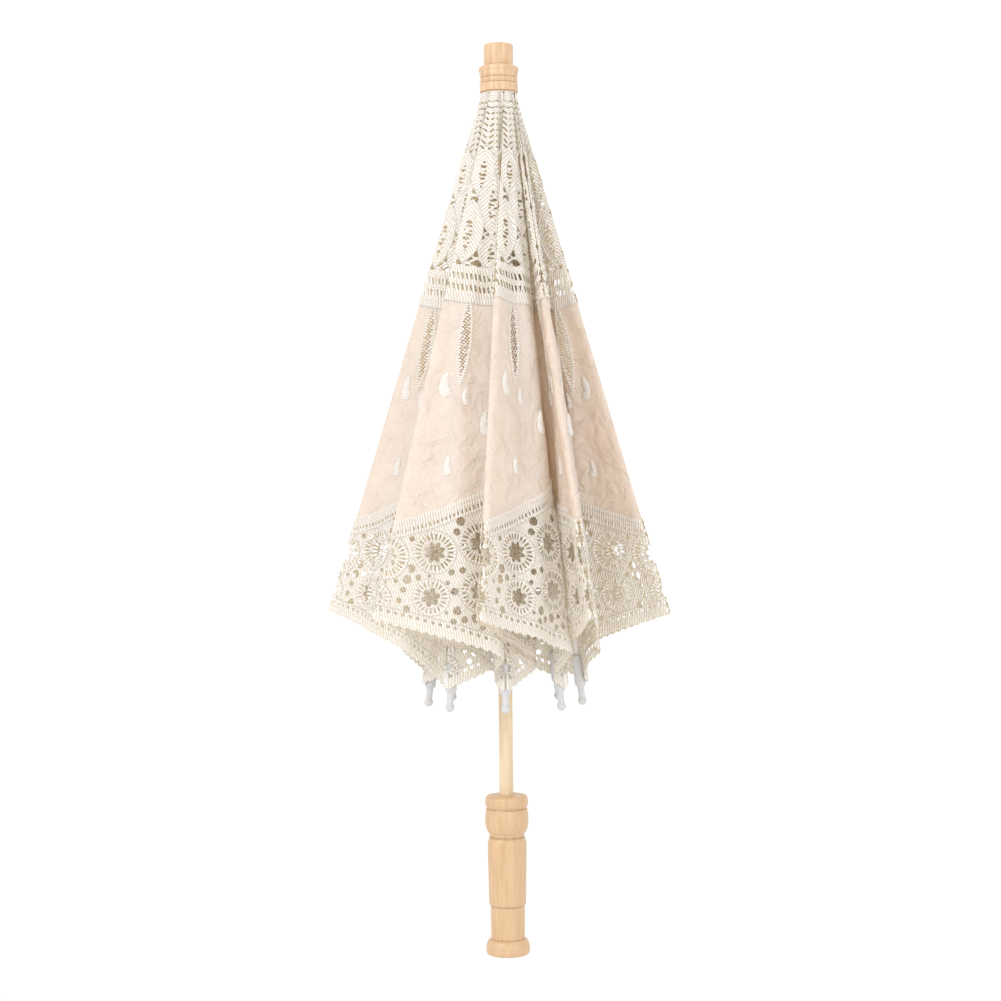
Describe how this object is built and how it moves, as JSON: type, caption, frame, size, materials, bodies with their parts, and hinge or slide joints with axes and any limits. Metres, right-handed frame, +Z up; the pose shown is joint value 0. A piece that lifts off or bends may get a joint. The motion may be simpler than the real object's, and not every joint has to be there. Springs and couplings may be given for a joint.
{
  "type": "lace parasol",
  "caption": "Closed lace parasol with a turned wooden handle, hinged ribs and stretchers on a sliding runner, and folded cloth gores with openwork lace at the top and hem",
  "frame": {"origin": "centre of the flat underside of the handle, which is also mount handle_foot", "axes": "+Z runs up the stick to the finial; rib 1 hangs towards -Y, and ribs are counted from there towards +X"},
  "size_m": [0.2367, 0.2395, 0.65],
  "materials": {
    "handle_wood": "pale turned beech under thin satin lacquer",
    "stick_wood": "pale satin lacquer",
    "finial_wood": "pale turned beech under thin satin lacquer",
    "frame_white": "moulded, off-white",
    "rib_enamel": "off-white enamel",
    "tip_plastic": "moulded, off-white",
    "wire_steel": "plain drawn wire",
    "spring_steel": "plain stamped",
    "cloth": "fine cream linen with ivory cotton tape lace",
    "lace_cotton": "ivory cotton"
  },
  "bodies": {
    "root": {"handle": "handle_wood", "stick": "stick_wood", "finial": "finial_wood", "crown": "frame_white", "crown_wire": "wire_steel", "rosette": "lace_cotton", "bottom_catch_pin": "wire_steel", "top_catch_pin": "wire_steel"},
    "runner": {"runner": "frame_white"},
    "bottom_catch": {"bottom_catch": "spring_steel"},
    "top_catch": {"top_catch": "spring_steel"},
    "rib_1": {"rib_1": "rib_enamel", "tip_1": "tip_plastic", "rivet_1": "wire_steel"},
    "stretcher_1": {"stretcher_1": "rib_enamel"},
    "rib_2": {"rib_2": "rib_enamel", "tip_2": "tip_plastic", "rivet_2": "wire_steel"},
    "stretcher_2": {"stretcher_2": "rib_enamel"},
    "rib_3": {"rib_3": "rib_enamel", "tip_3": "tip_plastic", "rivet_3": "wire_steel"},
    "stretcher_3": {"stretcher_3": "rib_enamel"},
    "rib_4": {"rib_4": "rib_enamel", "tip_4": "tip_plastic", "rivet_4": "wire_steel"},
    "stretcher_4": {"stretcher_4": "rib_enamel"},
    "rib_5": {"rib_5": "rib_enamel", "tip_5": "tip_plastic", "rivet_5": "wire_steel"},
    "stretcher_5": {"stretcher_5": "rib_enamel"},
    "rib_6": {"rib_6": "rib_enamel", "tip_6": "tip_plastic", "rivet_6": "wire_steel"},
    "stretcher_6": {"stretcher_6": "rib_enamel"},
    "rib_7": {"rib_7": "rib_enamel", "tip_7": "tip_plastic", "rivet_7": "wire_steel"},
    "stretcher_7": {"stretcher_7": "rib_enamel"},
    "rib_8": {"rib_8": "rib_enamel", "tip_8": "tip_plastic", "rivet_8": "wire_steel"},
    "stretcher_8": {"stretcher_8": "rib_enamel"},
    "gore_1_right": {"gore_1_right": "cloth"},
    "gore_1_left": {"gore_1_left": "cloth"},
    "gore_2_right": {"gore_2_right": "cloth"},
    "gore_2_left": {"gore_2_left": "cloth"},
    "gore_3_right": {"gore_3_right": "cloth"},
    "gore_3_left": {"gore_3_left": "cloth"},
    "gore_4_right": {"gore_4_right": "cloth"},
    "gore_4_left": {"gore_4_left": "cloth"},
    "gore_5_right": {"gore_5_right": "cloth"},
    "gore_5_left": {"gore_5_left": "cloth"},
    "gore_6_right": {"gore_6_right": "cloth"},
    "gore_6_left": {"gore_6_left": "cloth"},
    "gore_7_right": {"gore_7_right": "cloth"},
    "gore_7_left": {"gore_7_left": "cloth"},
    "gore_8_right": {"gore_8_right": "cloth"},
    "gore_8_left": {"gore_8_left": "cloth"}
  },
  "joints": [
    {"name": "runner_slide", "type": "slide", "parent": "root", "child": "runner", "axis": [0, 0, 1], "range_m": [0, 0.24795]},
    {"name": "bottom_catch_press", "type": "hinge", "parent": "root", "child": "bottom_catch", "pos_m": [0.00107, -0.00259, 0.278], "axis": [0.9239, 0.3827, 0], "range_deg": [0, 7.5], "stiffness_Nm_per_rad": 0.05},
    {"name": "top_catch_press", "type": "hinge", "parent": "root", "child": "top_catch", "pos_m": [0.00107, -0.00259, 0.41], "axis": [-0.9239, -0.3827, 0], "range_deg": [0, 7.5], "stiffness_Nm_per_rad": 0.05},
    {"name": "rib_1_open", "type": "hinge", "parent": "root", "child": "rib_1", "pos_m": [0, -0.0098, 0.61], "axis": [-1, 0, 0], "range_deg": [0, 64.02]},
    {"name": "stretcher_1_turn", "type": "hinge", "parent": "rib_1", "child": "stretcher_1", "pos_m": [0, -0.02966, 0.42104], "axis": [-1, 0, 0], "range_deg": [-128.04, 0]},
    {"name": "rib_2_open", "type": "hinge", "parent": "root", "child": "rib_2", "pos_m": [0.00693, -0.00693, 0.61], "axis": [-0.7071, -0.7071, 0], "range_deg": [0, 64.02]},
    {"name": "stretcher_2_turn", "type": "hinge", "parent": "rib_2", "child": "stretcher_2", "pos_m": [0.02097, -0.02097, 0.42104], "axis": [-0.7071, -0.7071, 0], "range_deg": [-128.04, 0]},
    {"name": "rib_3_open", "type": "hinge", "parent": "root", "child": "rib_3", "pos_m": [0.0098, 0, 0.61], "axis": [0, -1, 0], "range_deg": [0, 64.02]},
    {"name": "stretcher_3_turn", "type": "hinge", "parent": "rib_3", "child": "stretcher_3", "pos_m": [0.02966, 0, 0.42104], "axis": [0, -1, 0], "range_deg": [-128.04, 0]},
    {"name": "rib_4_open", "type": "hinge", "parent": "root", "child": "rib_4", "pos_m": [0.00693, 0.00693, 0.61], "axis": [0.7071, -0.7071, 0], "range_deg": [0, 64.02]},
    {"name": "stretcher_4_turn", "type": "hinge", "parent": "rib_4", "child": "stretcher_4", "pos_m": [0.02097, 0.02097, 0.42104], "axis": [0.7071, -0.7071, 0], "range_deg": [-128.04, 0]},
    {"name": "rib_5_open", "type": "hinge", "parent": "root", "child": "rib_5", "pos_m": [0, 0.0098, 0.61], "axis": [1, 0, 0], "range_deg": [0, 64.02]},
    {"name": "stretcher_5_turn", "type": "hinge", "parent": "rib_5", "child": "stretcher_5", "pos_m": [0, 0.02966, 0.42104], "axis": [1, 0, 0], "range_deg": [-128.04, 0]},
    {"name": "rib_6_open", "type": "hinge", "parent": "root", "child": "rib_6", "pos_m": [-0.00693, 0.00693, 0.61], "axis": [0.7071, 0.7071, 0], "range_deg": [0, 64.02]},
    {"name": "stretcher_6_turn", "type": "hinge", "parent": "rib_6", "child": "stretcher_6", "pos_m": [-0.02097, 0.02097, 0.42104], "axis": [0.7071, 0.7071, 0], "range_deg": [-128.04, 0]},
    {"name": "rib_7_open", "type": "hinge", "parent": "root", "child": "rib_7", "pos_m": [-0.0098, 0, 0.61], "axis": [0, 1, 0], "range_deg": [0, 64.02]},
    {"name": "stretcher_7_turn", "type": "hinge", "parent": "rib_7", "child": "stretcher_7", "pos_m": [-0.02966, 0, 0.42104], "axis": [0, 1, 0], "range_deg": [-128.04, 0]},
    {"name": "rib_8_open", "type": "hinge", "parent": "root", "child": "rib_8", "pos_m": [-0.00693, -0.00693, 0.61], "axis": [-0.7071, 0.7071, 0], "range_deg": [0, 64.02]},
    {"name": "stretcher_8_turn", "type": "hinge", "parent": "rib_8", "child": "stretcher_8", "pos_m": [-0.02097, -0.02097, 0.42104], "axis": [-0.7071, 0.7071, 0], "range_deg": [-128.04, 0]},
    {"name": "gore_1_right_unfold", "type": "hinge", "parent": "rib_1", "child": "gore_1_right", "pos_m": [0, -0.01158, 0.62177], "axis": [-0.0914, 0.0511, 0.9945], "range_deg": [0, 119.66], "deforming": ["gore_1_right"]},
    {"name": "gore_1_left_unfold", "type": "hinge", "parent": "rib_2", "child": "gore_1_left", "pos_m": [0.00819, -0.00819, 0.62177], "axis": [-0.0876, 0.5894, -0.8031], "range_deg": [0, 11.17], "deforming": ["gore_1_left"]},
    {"name": "gore_2_right_unfold", "type": "hinge", "parent": "rib_2", "child": "gore_2_right", "pos_m": [0.00819, -0.00819, 0.62177], "axis": [-0.1042, -0.0163, 0.9944], "range_deg": [0, 131.74], "deforming": ["gore_2_right"]},
    {"name": "gore_2_left_unfold", "type": "hinge", "parent": "rib_3", "child": "gore_2_left", "pos_m": [0.01158, 0, 0.62177], "axis": [-0.5307, 0.2777, -0.8008], "range_deg": [0, 7.92], "deforming": ["gore_2_left"]},
    {"name": "gore_3_right_unfold", "type": "hinge", "parent": "rib_3", "child": "gore_3_right", "pos_m": [0.01158, 0, 0.62177], "axis": [-0.0586, -0.0929, 0.9939], "range_deg": [0, 130.81], "deforming": ["gore_3_right"]},
    {"name": "gore_3_left_unfold", "type": "hinge", "parent": "rib_4", "child": "gore_3_left", "pos_m": [0.00819, 0.00819, 0.62177], "axis": [-0.555, -0.2214, -0.8018], "range_deg": [0, 9.12], "deforming": ["gore_3_left"]},
    {"name": "gore_4_right_unfold", "type": "hinge", "parent": "rib_4", "child": "gore_4_right", "pos_m": [0.00819, 0.00819, 0.62177], "axis": [0.029, -0.1017, 0.9944], "range_deg": [0, 120.69], "deforming": ["gore_4_right"]},
    {"name": "gore_4_left_unfold", "type": "hinge", "parent": "rib_5", "child": "gore_4_left", "pos_m": [0, 0.01158, 0.62177], "axis": [-0.3421, -0.4877, -0.8032], "range_deg": [0, 11.04], "deforming": ["gore_4_left"]},
    {"name": "gore_5_right_unfold", "type": "hinge", "parent": "rib_5", "child": "gore_5_right", "pos_m": [0, 0.01158, 0.62177], "axis": [0.0924, -0.0515, 0.9944], "range_deg": [0, 120.69], "deforming": ["gore_5_right"]},
    {"name": "gore_5_left_unfold", "type": "hinge", "parent": "rib_6", "child": "gore_5_left", "pos_m": [-0.00819, 0.00819, 0.62177], "axis": [0.103, -0.5867, -0.8032], "range_deg": [0, 11.04], "deforming": ["gore_5_left"]},
    {"name": "gore_6_right_unfold", "type": "hinge", "parent": "rib_6", "child": "gore_6_right", "pos_m": [-0.00819, 0.00819, 0.62177], "axis": [0.1017, 0.029, 0.9944], "range_deg": [0, 120.69], "deforming": ["gore_6_right"]},
    {"name": "gore_6_left_unfold", "type": "hinge", "parent": "rib_7", "child": "gore_6_left", "pos_m": [-0.01158, 0, 0.62177], "axis": [0.4877, -0.3421, -0.8032], "range_deg": [0, 11.04], "deforming": ["gore_6_left"]},
    {"name": "gore_7_right_unfold", "type": "hinge", "parent": "rib_7", "child": "gore_7_right", "pos_m": [-0.01158, 0, 0.62177], "axis": [0.0524, 0.0861, 0.9949], "range_deg": [0, 118.34], "deforming": ["gore_7_right"]},
    {"name": "gore_7_left_unfold", "type": "hinge", "parent": "rib_8", "child": "gore_7_left", "pos_m": [-0.00819, -0.00819, 0.62177], "axis": [0.5961, 0.0372, -0.8021], "range_deg": [0, 10.96], "deforming": ["gore_7_left"]},
    {"name": "gore_8_right_unfold", "type": "hinge", "parent": "rib_8", "child": "gore_8_right", "pos_m": [-0.00819, -0.00819, 0.62177], "axis": [-0.0391, 0.0994, 0.9943], "range_deg": [0, 112.16], "deforming": ["gore_8_right"]},
    {"name": "gore_8_left_unfold", "type": "hinge", "parent": "rib_1", "child": "gore_8_left", "pos_m": [0, -0.01158, 0.62177], "axis": [0.354, 0.4761, -0.805], "range_deg": [0, 13.57], "deforming": ["gore_8_left"]}
  ],
  "couplings": [
    {"joint": "rib_1_open", "follows": "runner_slide", "rad_per_m": 4.505},
    {"joint": "stretcher_1_turn", "follows": "runner_slide", "rad_per_m": -9.0099},
    {"joint": "rib_2_open", "follows": "runner_slide", "rad_per_m": 4.505},
    {"joint": "stretcher_2_turn", "follows": "runner_slide", "rad_per_m": -9.0099},
    {"joint": "rib_3_open", "follows": "runner_slide", "rad_per_m": 4.505},
    {"joint": "stretcher_3_turn", "follows": "runner_slide", "rad_per_m": -9.0099},
    {"joint": "rib_4_open", "follows": "runner_slide", "rad_per_m": 4.505},
    {"joint": "stretcher_4_turn", "follows": "runner_slide", "rad_per_m": -9.0099},
    {"joint": "rib_5_open", "follows": "runner_slide", "rad_per_m": 4.505},
    {"joint": "stretcher_5_turn", "follows": "runner_slide", "rad_per_m": -9.0099},
    {"joint": "rib_6_open", "follows": "runner_slide", "rad_per_m": 4.505},
    {"joint": "stretcher_6_turn", "follows": "runner_slide", "rad_per_m": -9.0099},
    {"joint": "rib_7_open", "follows": "runner_slide", "rad_per_m": 4.505},
    {"joint": "stretcher_7_turn", "follows": "runner_slide", "rad_per_m": -9.0099},
    {"joint": "rib_8_open", "follows": "runner_slide", "rad_per_m": 4.505},
    {"joint": "stretcher_8_turn", "follows": "runner_slide", "rad_per_m": -9.0099},
    {"joint": "gore_1_right_unfold", "follows": "runner_slide", "rad_per_m": 8.4213},
    {"joint": "gore_1_left_unfold", "follows": "runner_slide", "rad_per_m": 0.78489},
    {"joint": "gore_2_right_unfold", "follows": "runner_slide", "rad_per_m": 9.2715},
    {"joint": "gore_2_left_unfold", "follows": "runner_slide", "rad_per_m": 0.5558},
    {"joint": "gore_3_right_unfold", "follows": "runner_slide", "rad_per_m": 9.2066},
    {"joint": "gore_3_left_unfold", "follows": "runner_slide", "rad_per_m": 0.64072},
    {"joint": "gore_4_right_unfold", "follows": "runner_slide", "rad_per_m": 8.4939},
    {"joint": "gore_4_left_unfold", "follows": "runner_slide", "rad_per_m": 0.77601},
    {"joint": "gore_5_right_unfold", "follows": "runner_slide", "rad_per_m": 8.4939},
    {"joint": "gore_5_left_unfold", "follows": "runner_slide", "rad_per_m": 0.77601},
    {"joint": "gore_6_right_unfold", "follows": "runner_slide", "rad_per_m": 8.4939},
    {"joint": "gore_6_left_unfold", "follows": "runner_slide", "rad_per_m": 0.77601},
    {"joint": "gore_7_right_unfold", "follows": "runner_slide", "rad_per_m": 8.3283},
    {"joint": "gore_7_left_unfold", "follows": "runner_slide", "rad_per_m": 0.77022},
    {"joint": "gore_8_right_unfold", "follows": "runner_slide", "rad_per_m": 7.8933},
    {"joint": "gore_8_left_unfold", "follows": "runner_slide", "rad_per_m": 0.95369}
  ]
}
